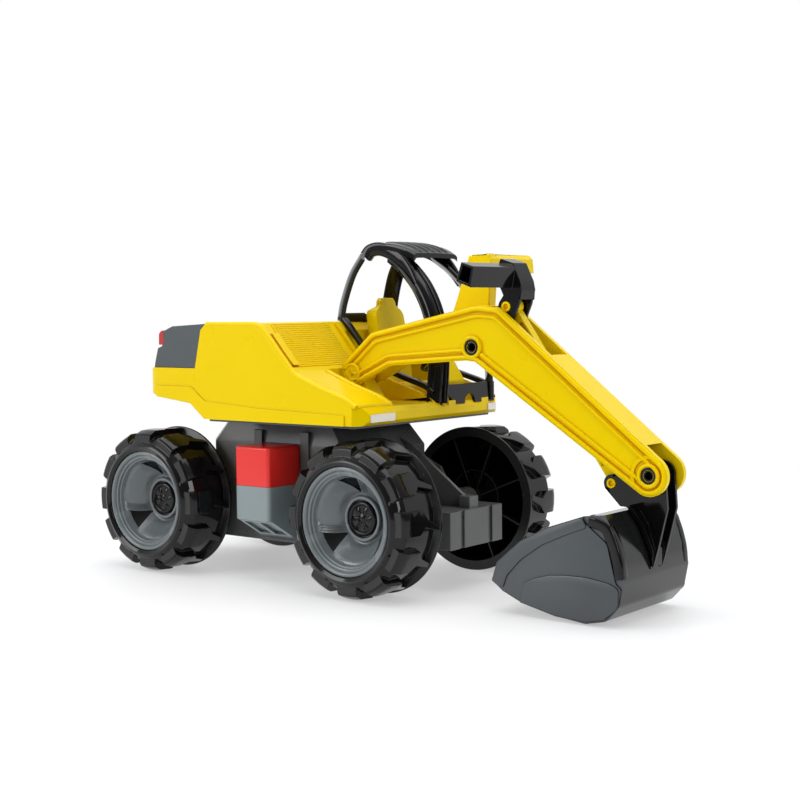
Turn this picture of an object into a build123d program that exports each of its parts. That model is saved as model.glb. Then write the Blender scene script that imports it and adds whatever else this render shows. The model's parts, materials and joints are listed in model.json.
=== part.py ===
from build123d import *
import math
import os

# Toy wheeled excavator, millimetres, +Z up, +X forward, +Y to the driver's left.
# Every function works in the vehicle frame: X = 0 midway between the axles, Y = 0 on the
# centre plane, Z = 0 on the ground. save() moves each piece to the origin of the whole
# part, which is the centre of its footprint on the ground.

# ---- wheels and chassis
wheelbase = 256.0
wheel_radius = 70.0
wheel_inner_y = 70.0
wheel_width = 53.0
lug_count = 12
dish_depth = 24.0
dish_floor = wheel_width - 3 - dish_depth
axle_radius = 4.0
axle_fit = 0.06
tower_top_z = 147.0
belly_z = 36.0
beam_half_width = 41.0
beam_front_x = 185.0
step_face_y = 102.0
step_half_length = 22.0

# ---- upper body
body_half_width = 108.0
body_rear_x = -134.5
body_nose_x = 138.0
body_floor_z = 152.0
body_roof_z = 243.0
body_wall = 3.0
slot_near_y = -56.0
slot_far_y = 3.0
cab_far_y = 105.0
slew_gap = 0.5
tub_floor_z = 160.0
slot_floor_z = 168.0
seat_y = 55.0
cab_roof_z = 320.0
cab_mid_y = 54.0
king_pin_radius = 9.0

# ---- boom, lever, rod and bucket, all about the plane y = boom_y
boom_y = -26.0
boom_half_width = 15.0
boom_wall = 3.0
boom_pivot = (74.5, 195.9)
lever_pivot = (210.7, 221.1)
rod_top_pin = (243.5, 256.2)
rod_low_pin = (345.9, 110.0)
bucket_pivot = (383.9, 118.9)
hub_radius = 4.6
hub_fit = 0.06
bucket_half_width = 55.0
tip_radius = 16.8
handle_end_y = 99.0
rod_pin_radius = 4.4
eye_radius = 6.0

rear_x = -wheelbase / 2 - wheel_radius
front_x = bucket_pivot[0] + tip_radius
origin_x = (rear_x + front_x) / 2


def save(name, shape):
    """Write one piece, moved to the origin of the whole part."""
    export_step(Pos(-origin_x, 0, 0) * shape, "parts/" + name + ".step")


def outline(points, rounding=0.0):
    """A face in the XZ plane from (x, z) corners, with rounded corners if wanted."""
    edges = Polyline([(x, 0, z) for x, z in points], close=True)
    face = make_face(edges).face()
    if rounding > 0:
        face = face.fillet_2d(rounding, face.vertices())
    return face


def slab(face, y_from, y_to):
    """An XZ face made solid between two Y values."""
    return extrude(Pos(0, y_from, 0) * face, amount=y_to - y_from, dir=(0, 1, 0))


def disc(centre, radius, y_from, y_to):
    """A cylinder along Y about an (x, z) centre."""
    middle = (y_from + y_to) / 2
    length = abs(y_to - y_from)
    return Pos(centre[0], middle, centre[1]) * Rot(90, 0, 0) * Cylinder(radius, length)


def block(x0, x1, y0, y1, z0, z1):
    """A box given by its limits."""
    size = Box(x1 - x0, y1 - y0, z1 - z0)
    return Pos((x0 + x1) / 2, (y0 + y1) / 2, (z0 + z1) / 2) * size


def turned(profile):
    """A body turned about Z from (radius, height) corners."""
    edges = Polyline([(r, 0, h) for r, h in profile], close=True)
    return revolve(make_face(edges).face(), axis=Axis.Z)


# ---------------------------------------------------------------- wheels
# A wheel is made about Z with its inner edge at height 0 and its outer side up.

def make_tyre():
    """Hollow tyre shell with lugs, an inner edge flange, a disc wall and radial ribs."""
    groove = wheel_radius - 6.5
    tread = turned([
        (groove - 3, 0), (wheel_radius, 0), (wheel_radius, 2.2), (groove, 4.5), (groove, 42),
        (groove - 3.5, 48), (groove - 9, wheel_width - 0.8), (52.5, wheel_width), (49, wheel_width - 2),
        (49, wheel_width - 6), (51.5, wheel_width - 6), (groove - 8, wheel_width - 5), (groove - 3, 42)])
    crest = wheel_radius - 0.9
    lug_corners = [(-7.5, 4), (-3, 4), (4, 19), (12.5, 26), (12.5, 50), (-9, 50), (-9, 30), (-2.5, 23)]
    lug_face = make_face(Polyline(lug_corners, close=True)).face()
    lug_block = extrude(Plane((0, 0, 0), x_dir=(0, 1, 0), z_dir=(1, 0, 0)) * lug_face, amount=crest)
    inside = turned([
        (0, 0), (groove - 1, 0), (groove - 1, 42), (groove - 4.5, 47.5), (groove - 9, 52), (0, 52)])
    envelope = turned([
        (0, 0), (wheel_radius, 0), (wheel_radius, 30), (wheel_radius - 0.8, 42), (wheel_radius - 4, 48.5),
        (wheel_radius - 11, wheel_width), (0, wheel_width)])
    lug = (lug_block - inside) & envelope
    for index in range(lug_count):
        tread += Rot(0, 0, index * 360 / lug_count) * lug
    wall = turned([
        (axle_radius + axle_fit, 2), (11, 2), (11, dish_floor - 9), (25, dish_floor - 9),
        (45.9, wheel_width - 10), (53, wheel_width - 10), (53, wheel_width - 5), (49.5, wheel_width - 5.5),
        (48.6, wheel_width - 6.3), (44.3, wheel_width - 7.6), (23.5, dish_floor - 6),
        (axle_radius + axle_fit, dish_floor - 6)])
    rib = block(10.5, groove - 2, -1, 1, 5, dish_floor - 8)
    rib += slab(outline([(25, dish_floor - 10), (groove - 2, dish_floor - 10), (groove - 2, 42),
                         (51, wheel_width - 7), (46, wheel_width - 9)]), -1, 1)
    collar = turned([(26, 8), (28, 8), (28, dish_floor - 7.5), (26, dish_floor - 7.5)])
    tyre = tread + wall + collar
    for index in range(8):
        tyre += Rot(0, 0, 22.5 + index * 45) * rib
    return tyre - Cylinder(axle_radius + axle_fit, 200)


def make_rim():
    """Pressed-in rim: stepped outer ring, conical dish with three windows, hub seat."""
    ring_top = wheel_width - 3
    rim = turned([
        (14, dish_floor - 6), (23.4, dish_floor - 6), (44.4, ring_top - 4), (48.9, ring_top - 2.9),
        (48.9, ring_top), (46.8, ring_top + 1), (45.2, ring_top), (44.6, ring_top - 2),
        (42.6, ring_top - 2.2), (41.8, ring_top - 4.4), (40.4, ring_top - 4.8), (38.4, ring_top - 8),
        (24, dish_floor - 1.5),
        (20, dish_floor - 1.5), (18.4, dish_floor + 2), (14, dish_floor + 2)])
    window = Polyline([(26.5, -9), (37, -15), (40.5, 0), (37, 15), (26.5, 9)], close=True)
    cutter = extrude(make_face(window).face(), amount=60)
    for index in range(3):
        rim -= Rot(0, 0, 30 + index * 120) * cutter
    return rim


def make_hub_cap():
    """Round cap over the axle end, with a stepped edge and six shallow petals."""
    base = dish_floor - 6
    cap = turned([
        (0, base + 1), (axle_radius + axle_fit, base + 1), (axle_radius + axle_fit, base), (13.9, base),
        (13.9, dish_floor + 3.5), (12.4, dish_floor + 5), (10.8, dish_floor + 5), (10.2, dish_floor + 4.2),
        (0, dish_floor + 4.2)])
    petal = Pos(6, 0, dish_floor + 3.6) * Cylinder(2.4, 3)
    for index in range(6):
        cap -= Rot(0, 0, index * 60) * petal
    return cap - Pos(0, 0, base - 6) * Cylinder(axle_radius + axle_fit, 16)


def place_wheel(piece, x, side):
    """Stand a wheel piece up: side is -1 for the right of the vehicle, +1 for the left."""
    return Pos(x, side * wheel_inner_y, wheel_radius) * Rot(-90 * side, 0, 0) * piece


def make_wheels():
    """Write the three pieces of each of the four wheels."""
    pieces = {"tyre": make_tyre(), "rim": make_rim(), "hub_cap": make_hub_cap()}
    for end, x in (("front", wheelbase / 2), ("rear", -wheelbase / 2)):
        for side_name, side in (("right", -1), ("left", 1)):
            for kind, piece in pieces.items():
                save(kind + "_" + end + "_" + side_name, place_wheel(piece, x, side))


def make_axles():
    """One steel rod for each axle, from hub cap to hub cap."""
    reach = wheel_inner_y + dish_floor - 5.4
    for end, x in (("front", wheelbase / 2), ("rear", -wheelbase / 2)):
        save("axle_rod_" + end, disc((x, wheel_radius), axle_radius, -reach, reach))


# ---------------------------------------------------------------- chassis
def tower_plan(grow):
    """Plan of the turntable tower, an oblong with cut corners, grown by a margin."""
    x_rear = -92 - grow
    x_front = 88 + grow
    half = 54 + grow * 0.3
    corners = [
        (x_rear, -half + 18), (x_rear + 18, -half), (x_front - 30, -half), (x_front, -half + 30),
        (x_front, half - 30), (x_front - 30, half), (x_rear + 18, half), (x_rear, half - 18)]
    return make_face(Polyline(corners, close=True)).face()


def make_chassis():
    """Undercarriage moulding: tower, front and rear beams, gusset ribs and axle bosses."""
    top = Pos(0, 0, tower_top_z) * tower_plan(0)
    middle = Pos(0, 0, 126) * tower_plan(16)
    low = Pos(0, 0, belly_z) * tower_plan(16)
    outer = loft([middle, top]) + loft([low, middle])
    wall = 3
    hollow_top = Pos(0, 0, tower_top_z - 4) * tower_plan(-wall)
    hollow_mid = Pos(0, 0, 126) * tower_plan(16 - wall)
    hollow_low = Pos(0, 0, belly_z) * tower_plan(16 - wall)
    frame = outer
    for way in (1, -1):
        ends = sorted((way * 95, way * beam_front_x))
        beam = block(ends[0], ends[1], -beam_half_width, beam_half_width, 39, 73)
        groove = block(-2, 2, -3, 3, 38, 74)
        for y in (-22, 22):
            beam -= Pos(way * beam_front_x, y, 0) * groove
        hollow_x = sorted((way * 112, way * (beam_front_x - 5)))
        beam -= block(*hollow_x, 5 - beam_half_width, beam_half_width - 5, 38, 70)
        frame += beam
        rib = slab(outline([
            (way * 90, 138), (way * 112, 128), (way * 172, 84), (way * 172, 72), (way * 90, 72)]), -2, 2)
        frame += rib
        frame += block(*sorted((way * 170, way * 182)), -7, 7, 72.5, 84)
        for y in (-36, 36):
            gusset = outline([(way * 100, 112), (way * 118, 104), (way * 135, 72), (way * 100, 72)])
            frame += slab(gusset, y - 2, y + 2)
        for side in (-1, 1):
            boss_y = sorted((side * 40, side * 67))
            frame += disc((way * wheelbase / 2, wheel_radius), 12, *boss_y)
    frame -= loft([hollow_mid, hollow_top]) + loft([hollow_low, hollow_mid])
    for side in (-1, 1):
        for x in (-30, 30):
            frame += block(x - 5, x + 5, *sorted((side * 56, side * 61)), 60, 140)
        frame += block(-25, 25, *sorted((side * 57, side * 59)), 50, 128)
    frame += Pos(0, 0, (belly_z + tower_top_z) / 2 + 2) * Cylinder(17, tower_top_z - belly_z - 4)
    frame -= Pos(0, 0, tower_top_z - 24) * Cylinder(king_pin_radius, 60)
    for way in (1, -1):
        frame -= disc((way * wheelbase / 2, wheel_radius), axle_radius, -70, 70)
    for x in (-70, 70):
        for y in (-38, 38):
            frame += Pos(x, y, (belly_z + tower_top_z) / 2) * Cylinder(6, tower_top_z - belly_z - 4)
            frame -= Pos(x, y, belly_z + 8) * Cylinder(2, 30)
    save("chassis_frame", frame)


def make_belly():
    """Flat belly plate with four screws, and the turntable parts on top of the tower."""
    plate = Pos(0, 0, belly_z - 3) * extrude(tower_plan(15), amount=3)
    screws = []
    for x in (-70, 70):
        for y in (-38, 38):
            hole = Pos(x, y, belly_z - 1.5) * Cylinder(2, 10)
            sink = Pos(x, y, belly_z - 3) * Cylinder(4.2, 4)
            plate -= hole + sink
            head = Pos(x, y, belly_z - 2) * Cylinder(4.2, 2)
            shank = Pos(x, y, belly_z + 4) * Cylinder(2, 10)
            screws.append(head + shank)
    save("belly_plate", plate)
    save("belly_screws", screws[0] + screws[1] + screws[2] + screws[3])
    ring_top = body_floor_z - 2 - slew_gap
    save("turntable_ring", turned([(44, tower_top_z), (51, tower_top_z), (51, ring_top), (44, ring_top)]))
    upward = (Align.CENTER, Align.CENTER, Align.MIN)
    pin = Pos(0, 0, tower_top_z - 54) * Cylinder(king_pin_radius, 84, align=upward)
    neck = turned([(6.5, 163), (20, 163), (20, 166), (6.5, 166)])
    save("king_pin", pin - neck)
    save("king_pin_clip", turned([(6.5, 163.2), (15, 163.2), (15, 165.8), (6.5, 165.8)]))


def round_outer_corners(box, side, radius):
    """Round the two upright corners of a step piece that face away from the chassis."""
    upright = box.edges().filter_by(Axis.Z).sort_by(Axis.Y)
    return fillet(upright[:2] if side < 0 else upright[-2:], radius)


def make_steps():
    """Side step boxes with coloured caps, hollow inside, one on each side between the wheels."""
    inner = 59.0
    step_wall = 3.0
    box_low, box_high, cap_high = 40.0, 91.0, 128.0
    room_x = step_half_length - step_wall
    for side_name, side in (("right", -1), ("left", 1)):
        limits = sorted((side * inner, side * step_face_y))
        room = sorted((side * (inner - 1), side * (step_face_y - step_wall)))
        box = block(-step_half_length, step_half_length, *limits, box_low, box_high)
        slope = Polyline([(0, side * y, z) for y, z in (
            (70, 30), (step_face_y + 5, 30), (step_face_y + 5, 60), (98, 58), (70, 41))], close=True)
        box -= extrude(make_face(slope).face(), amount=40, dir=(1, 0, 0), both=True)
        box = round_outer_corners(box, side, 4)
        for x in (-10, 10):
            box -= Pos(x, side * 84, 48) * Rot(side * 31, 0, 0) * Box(15, 26, 8)
        box -= block(-room_x, room_x, *room, 64, box_high - step_wall)
        save("step_box_" + side_name, box)
        cap = block(-step_half_length, step_half_length, *limits, box_high, cap_high)
        cap = round_outer_corners(cap, side, 4)
        cap = fillet(cap.faces().sort_by(Axis.Z)[-1].edges(), 2.5)
        cap -= block(-room_x, room_x, *room, box_high + step_wall, cap_high - 4)
        save("step_cap_" + side_name, cap)


# ---------------------------------------------------------------- upper body
def body_profile(inset=0.0):
    """Side outline of the yellow body: rear bumper, low sill, nose and sloping front."""
    low = body_floor_z + 0.5
    face = outline([
        (body_rear_x, 175.5), (-73.5, 167), (-54.5, low), (134, low), (body_nose_x, 156),
        (body_nose_x, 163), (134, 169), (121, 176.5), (91, 185.5), (58, 198), (38, 219),
        (17, body_roof_z), (-51.5, body_roof_z), (-58.5, 237), (-67, 200.5), (-127.5, 200.5),
        (-131, 185), (body_rear_x, 184)])
    if inset > 0:
        face = make_face(face.outer_wire().offset_2d(-inset, kind=Kind.INTERSECTION)).face()
    return face


def body_plan(inset=0.0):
    """Plan of the body with rounded rear corners and a swept nose, as a tall prism."""
    half = body_half_width - inset
    rear = body_rear_x + inset
    nose = body_nose_x - inset
    corners = [(rear, -half), (128, -half), (nose, -half + 12), (nose, half - 8), (132, half), (rear, half)]
    face = make_face(Polyline(corners, close=True)).face()
    rear_corners = face.vertices().sort_by(Axis.X)[:2]
    return extrude(Pos(0, 0, 100) * face.fillet_2d(14 - inset, rear_corners), amount=200)


def make_body():
    """Yellow body shell, open below: rear box, right fender, boom slot and cab tub."""
    half = body_half_width
    outer = slab(body_profile(), -half, half) & body_plan()
    cavity = slab(body_profile(body_wall), -half, half) & body_plan(body_wall)
    cavity += block(-50, 130, -half + body_wall, half - body_wall, 140, body_floor_z + 6)
    tub = block(24, 135, slot_far_y + body_wall, cab_far_y, tub_floor_z, 260)
    slot = block(boom_pivot[0] - 18.5, 150, slot_near_y, slot_far_y, slot_floor_z, 260)
    jacket = block(21, 150, slot_far_y, half, tub_floor_z - body_wall, 260)
    jacket += slab(outline([(2, 250), (50, 190), (62, 190), (62, 250)]), -half, slot_far_y)
    jacket += block(
        boom_pivot[0] - 21.5, 150, slot_near_y - body_wall, slot_far_y, slot_floor_z - body_wall, 260)
    shell = outer - (cavity - jacket) - tub - slot
    # recessed slope between the side panel and the boom slot, with one raised louvre
    recess = outline([(12.5, 244), (34.7, 217.6), (55, 196.5), (61, 201), (41, 222), (20, 246)])
    recess = slab(recess, -half + 5, slot_far_y - 2) - block(20, 60, -97, -88, 205, 234)
    shell -= recess & block(0, boom_pivot[0] - 21.5, -half, half, 190, 250)
    # sill band standing proud along both sides
    sill = outline([
        (-120, 172.3), (-73.5, 167), (-54.5, body_floor_z + 0.5), (120, body_floor_z + 0.5), (120, 162),
        (16, 165), (-53, 169.5), (-71.5, 183), (-120, 183)])
    shell += slab(sill, -half - 1.2, -half) + slab(sill, half, half + 1.2)
    # low tabs that hold the foot of the cab front panel
    for y in (28, 82):
        shell += block(135, 138, y - 6, y + 6, 160, 168.5)
    return shell


def make_engine_cover():
    """Grey cover over the rear of the body, stepped towards the back, and its lights."""
    half = body_half_width - 0.6
    low = 200.5
    cover_face = outline([
        (-124.5, low), (-118.5, 219.5), (-112.5, 221.5), (-110.5, 236), (-98, 240.6), (-51.5, body_roof_z),
        (-58.5, 237), (-67, low)])
    cover = slab(cover_face, -half, half)
    wire = cover_face.outer_wire().offset_2d(-body_wall, kind=Kind.INTERSECTION)
    cover -= slab(make_face(wire).face(), -half + body_wall, half - body_wall)
    cover = cover & body_plan(0.6)
    lights = {}
    for side_name, side in (("right", -1), ("left", 1)):
        limits = sorted((side * 62, side * 98))
        seat = slab(outline([(-116, 223), (-108, 223), (-108, 236), (-114, 236)]), *limits)
        light = seat - cover
        lights["tail_light_" + side_name] = light.solids().sort_by(Axis.X)[0]
    return cover, lights


def make_base():
    """Dark floor plate under the body, turning on the king pin."""
    plate = block(-54, 128, -102, 102, body_floor_z - 2, body_floor_z + 0.5)
    plate -= Pos(0, 0, body_floor_z) * Cylinder(king_pin_radius + 0.06, 20)
    hub = turned([
        (king_pin_radius + 0.06, body_floor_z + 0.5), (16, body_floor_z + 0.5), (16, 162.8),
        (king_pin_radius + 0.06, 162.8)])
    return plate + hub


def make_headlights():
    """Plain pale light plates on the nose, right and left."""
    save("headlight_right", block(body_nose_x, body_nose_x + 1.2, -94, -60, 155.5, 162.5))
    save("headlight_left", block(body_nose_x, body_nose_x + 1.2, 86, 99, 156, 162.5))


def make_boom_post():
    """Post on the slot floor that the boom straddles and turns on."""
    half = 9.0
    x, z = boom_pivot
    post = slab(outline([(x - 9, slot_floor_z), (x + 22, slot_floor_z), (x + 6, z - 6), (x - 9, z - 2)]),
                boom_y - half, boom_y + half)
    post += disc(boom_pivot, 9, boom_y - half, boom_y + half)
    return post - disc(boom_pivot, 4 + hub_fit, boom_y - 20, boom_y + 20)


def make_seat():
    """Driver's seat: cushion, reclined back, shoulders and headrest."""
    y = seat_y
    cushion = block(38, 82, y - 25, y + 25, tub_floor_z, tub_floor_z + 24)
    cushion = fillet(cushion.edges().filter_by(Axis.Y).sort_by(Axis.Z)[-2:], 6)
    back = Polyline([
        (0, y - 26, 20), (0, y - 26, 78), (0, y - 19, 88), (0, y - 13, 89), (0, y - 13, 98), (0, y - 9, 102),
        (0, y + 9, 102), (0, y + 13, 98), (0, y + 13, 89), (0, y + 19, 88), (0, y + 26, 78), (0, y + 26, 20)],
        close=True)
    back = extrude(make_face(back).face(), amount=9, dir=(1, 0, 0))
    back = Pos(44, 0, tub_floor_z) * Rot(0, -8, 0) * back
    return cushion + back


def make_console():
    """Instrument column in front of the seat, with a plain steering ring."""
    y = seat_y
    column = slab(outline([
        (104, tub_floor_z), (124, tub_floor_z), (124, 186), (112, 204), (104, 204)]), y - 13, y + 13)
    wheel = Pos(97, y, 203) * Rot(0, -35, 0) * Torus(13, 2.2)
    stem = Pos(101, y, 199) * Rot(0, -35, 0) * Cylinder(2.5, 14)
    spokes = Pos(97, y, 203) * Rot(0, -35, 0) * Box(26, 4, 2)
    return column, (wheel + spokes + stem) - column


def cab_strip(points, width):
    """A curved bar in the XZ plane: a run of points given a width along X."""
    back = [(x + width, z) for x, z in reversed(points)]
    return outline(points + back)


def make_cab_frame():
    """Black cab frame: two leaning side frames, roof with ribs, rear rail and front panel."""
    front_edge = [(60, 306), (84, 293), (103, 272), (117.5, 245), (128, 206), (133, 176), (134, 164.5)]
    side_face = outline([
        (7, 242), (16, 271), (25, 295), (36, 313), (45, 318.5), (58, 320), (75, 317)] +
        [(x + 10, z + 3) for x, z in front_edge[1:-2]] + [(137.8, 177), (137.8, 171.3), (133.9, 173.6),
        (121.5, 181), (91, 190), (60, 202), (40, 223), (19, 248), (15, 248), (15, body_roof_z + 0.3),
        (7, body_roof_z + 0.3)])
    window = outline([
        (22.5, 250), (40, 284), (53, 302), (60, 303), (75, 296), (84, 289), (103, 268), (117, 241),
        (126, 206), (129.5, 185), (121, 187), (91, 196), (62, 208), (44, 226)])
    side = slab(side_face, 0, 6.5) - slab(window, -1, 8)
    pillar_front = cab_strip([(x + 6, z + 3) for x, z in front_edge[1:-2]] + [(134, 172)], 3.8)
    side += slab(pillar_front, 0, 15)
    lean = 5.5
    near = Pos(0, slot_far_y + 0.5, 175) * Rot(-lean, 0, 0) * Pos(0, 0, -175) * side
    far = mirror(near, Plane.XZ.offset(-cab_mid_y))
    roof_top = cab_roof_z
    roof = slab(outline([
        (38, 309), (46, roof_top - 2), (60, roof_top), (100, roof_top - 1), (113, roof_top - 13),
        (113, 303.5), (106, 303.5), (98, 312), (58, 313), (46, 309)]), cab_mid_y - 37, cab_mid_y + 37)
    for index in range(6):
        x = 62 + index * 8
        roof -= block(x, x + 4, cab_mid_y - 30, cab_mid_y + 30, roof_top - 2.2, roof_top + 1)
    rear_rail = block(7.5, 14.5, slot_far_y + 6, cab_far_y - 3, body_roof_z + 0.3, 252)
    panel = block(134.2, 137.8, slot_far_y + 4, cab_far_y - 1, 163.2, 184)
    for y in (28, 82):
        panel -= block(130, 140, y - 7, y + 7, 150, 170)
        panel -= block(130, 140, y - 4, y + 4, 150, 173)
    return near + far + roof + rear_rail + panel


# ---------------------------------------------------------------- boom
def boom_outline():
    """Side outline of the gooseneck boom, ending at the bucket pivot circle."""
    x, z = bucket_pivot
    angle = math.radians(39.0)
    top_end = (x + tip_radius * math.sin(angle), z + tip_radius * math.cos(angle))
    angle = math.radians(33.0)
    low_end = (x - tip_radius * math.sin(angle), z - tip_radius * math.cos(angle))
    base_x, base_z = boom_pivot
    face = outline([
        (base_x - 13, base_z + 7), (98, 233.5), (215, 257.5), (239, 255.5), top_end, (x, z), low_end,
        (214, 208.5), (203, 209.5), (119, 203.5), (base_x + 9, base_z - 9), (base_x - 4, base_z - 10)])
    knee = face.vertices().sort_by(Axis.Z)[-2:]
    return face.fillet_2d(9, knee)


def make_boom_half(side):
    """One half shell of the boom. side is -1 for the right half, +1 for the left half."""
    face = boom_outline()
    reach = boom_half_width
    half = slab(face, boom_y - reach, boom_y) + disc(bucket_pivot, tip_radius, boom_y - reach, boom_y)
    base = disc(boom_pivot, 12.5, boom_y - reach, boom_y)
    half += base
    room = slab(make_face(face.outer_wire().offset_2d(-boom_wall, kind=Kind.INTERSECTION)).face(),
                boom_y - reach + boom_wall, boom_y)
    inner = room
    for drop in (8, 16, 24):
        inner += Pos(-drop * 0.35, 0, -drop) * room
    inner += disc(bucket_pivot, tip_radius + 8, boom_y - reach + boom_wall, boom_y)
    inner += disc(boom_pivot, 20, boom_y - reach + boom_wall, boom_y)
    inner += block(224, 290, boom_y - reach + boom_wall, boom_y, 215, 262)
    half -= inner
    # raised ribs along the outline on the outer face
    skin = boom_y - reach
    for inset, width, height in ((0.0, 3.4, 1.4), (6.5, 1.8, 0.9)):
        outside = face
        if inset > 0:
            outside = make_face(face.outer_wire().offset_2d(-inset, kind=Kind.INTERSECTION)).face()
        inside = make_face(face.outer_wire().offset_2d(-inset - width, kind=Kind.INTERSECTION)).face()
        half += slab(outside, skin - height, skin) - slab(inside, skin - height, skin)
    half += disc(bucket_pivot, tip_radius, skin - 1.4, skin)
    half -= disc(bucket_pivot, tip_radius - 3, skin - 2, skin)
    for centre, radius in ((lever_pivot, 8.4), (bucket_pivot, 9.0), (boom_pivot, 8.0)):
        half += disc(centre, radius, skin - 1.9, skin)
    half -= disc(lever_pivot, hub_radius + hub_fit, boom_y - 30, boom_y + 1)
    half -= disc(bucket_pivot, hub_radius + hub_fit, boom_y - 30, boom_y + 1)
    half -= disc(boom_pivot, 4.0, boom_y - 30, boom_y + 1)
    if side > 0:
        half = mirror(half, Plane.XZ.offset(-boom_y))
    return half


def make_boom_pin():
    """Pin through the boom's foot, with a slotted end."""
    reach = boom_half_width + 1.6
    pin = disc(boom_pivot, 4, boom_y - reach, boom_y + reach)
    slot = Pos(boom_pivot[0], boom_y - reach, boom_pivot[1]) * Box(1.6, 1.6, 5.5)
    return pin - slot


def make_grip():
    """Fixed left hand grip: a thin post on the boom's left side and a cross bar."""
    skin = boom_y + boom_half_width
    post = slab(outline([
        (163, 238), (177, 276), (186, 302), (208, 303), (213, 287), (208.5, 272), (206, 240)]),
        skin, skin + 11)
    post -= slab(outline([(172, 236), (183, 272), (190, 290), (199, 290), (203, 272), (200, 236)]),
                 skin + 3, skin + 12)
    bar_face = outline([(187, 286.5), (186.5, 299), (190, 303), (206, 303), (210, 299), (211, 286.5)])
    bar = slab(bar_face, skin, 58)
    bar -= slab(outline([(190, 280), (190, 299), (206.5, 299), (207.5, 280)]), skin + 13, 55.5)
    return post + bar


# ---------------------------------------------------------------- lever and push rod
def make_lever():
    """Black lever: two plates joined at the front and a hollow handle to the right."""
    near_y = boom_y - 11
    far_y = boom_y + 11
    plate_face = outline([
        (203.5, 221), (206, 214.5), (212, 213), (218, 217), (249, 241), (256.5, 258), (259.6, 270.5),
        (258, 278), (250.5, 293.5), (238, 297.5), (231, 281), (237.5, 272), (240.5, 266), (236, 260),
        (233, 250), (206, 228)])
    lever = slab(plate_face, near_y, near_y + 3) + slab(plate_face, far_y - 3, far_y)
    front_web = outline([
        (257.6, 262), (259.6, 270.5), (258, 278), (250.5, 293.5), (238, 297.5), (237, 294.5), (248.3, 290.8),
        (255, 276.8), (256.5, 270.5), (254.7, 263)])
    lever += slab(front_web, near_y, far_y)
    lever += disc(rod_top_pin, 7.2, near_y, near_y + 3) + disc(rod_top_pin, 7.2, far_y - 3, far_y)
    lever += disc(lever_pivot, 7.5, near_y, far_y)
    lever += disc(lever_pivot, hub_radius, boom_y - boom_half_width - 1.6, boom_y + boom_half_width + 1.6)
    lever -= disc(lever_pivot, 3.2, boom_y - 40, boom_y + 40)
    section = outline([(240.8, 293.3), (253.2, 289.5), (249.8, 272.2), (235.4, 277.6)])
    hollow = outline([(242.4, 290.6), (250.8, 287.9), (248.0, 275.4), (238.0, 279.2)])
    lever += slab(section, -handle_end_y, near_y) - slab(hollow, -handle_end_y - 1, near_y - 2)
    return lever - disc(rod_top_pin, rod_pin_radius + hub_fit, boom_y - 40, boom_y + 40)


def make_rod():
    """Push rod between the lever and the bucket, with its upper pin and a loose lower eye."""
    top_x, top_z = rod_top_pin
    low_x, low_z = rod_low_pin
    length = math.hypot(low_x - top_x, low_z - top_z)
    angle = math.degrees(math.atan2(low_z - top_z, low_x - top_x))
    bar = Box(length - 10, 9, 8) - Pos(0, -3.5, 0) * Box(length - 34, 4, 4)
    bar = Pos((top_x + low_x) / 2, boom_y, (top_z + low_z) / 2) * Rot(0, -angle, 0) * bar
    rod = bar + disc(rod_top_pin, 7.2, boom_y - 6, boom_y + 6)
    rod += disc(rod_low_pin, 8.9, boom_y - 4.5, boom_y + 4.5)
    rod -= disc(rod_low_pin, eye_radius, boom_y - 10, boom_y + 10)
    rod -= disc(rod_top_pin, rod_pin_radius, boom_y - 10, boom_y + 10)
    pin = disc(rod_top_pin, rod_pin_radius, boom_y - 11.8, boom_y + 11.8)
    pin -= disc(rod_top_pin, rod_pin_radius - 2, boom_y - 14, boom_y - 10)
    return rod, pin


# ---------------------------------------------------------------- bucket
def bucket_profile():
    """Side outline of the bucket, mouth to the rear and up, rounded heel to the front."""
    face = outline([
        (257.6, 27), (262.8, 43), (286.5, 63), (311.5, 76), (346.5, 88), (366, 90.5), (374, 77), (380.5, 57),
        (383, 38), (379, 18), (367, 5), (348, 1), (320, 4), (286, 11.5), (268, 19)])
    heel = [v for v in face.vertices() if v.Z < 40 and v.X > 300]
    return face.fillet_2d(9, heel)


def make_bucket():
    """Bucket scoop with side plates, a raised lip band and a raised lower panel."""
    face = bucket_profile()
    low_y = boom_y - bucket_half_width
    high_y = boom_y + bucket_half_width
    scoop = slab(face, low_y, high_y)
    room_face = make_face(face.outer_wire().offset_2d(-3, kind=Kind.INTERSECTION)).face()
    room = slab(room_face, low_y + 3, high_y - 3)
    mouth = outline([(259, 44), (277, 36), (352, 76), (350, 95), (330, 100), (250, 60)])
    room += slab(mouth, low_y + 3, high_y - 3)
    scoop -= room
    band = outline([
        (257.6, 27), (262.8, 43), (286.5, 63), (311.5, 76), (346.5, 88), (347.5, 80), (314, 68), (291, 56),
        (270, 38.5), (266, 21.5)])
    panel = outline([
        (286, 11.5), (289, 28), (316, 37), (350, 38.5), (379, 33), (377, 18), (366, 6.5), (348, 1.8),
        (320, 4)])
    for y_from, y_to in ((low_y - 1, low_y), (high_y, high_y + 1)):
        scoop += slab(band, y_from, y_to) & slab(face, y_from, y_to)
        scoop += slab(panel, y_from, y_to) & slab(face, y_from, y_to)
    return scoop


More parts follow.
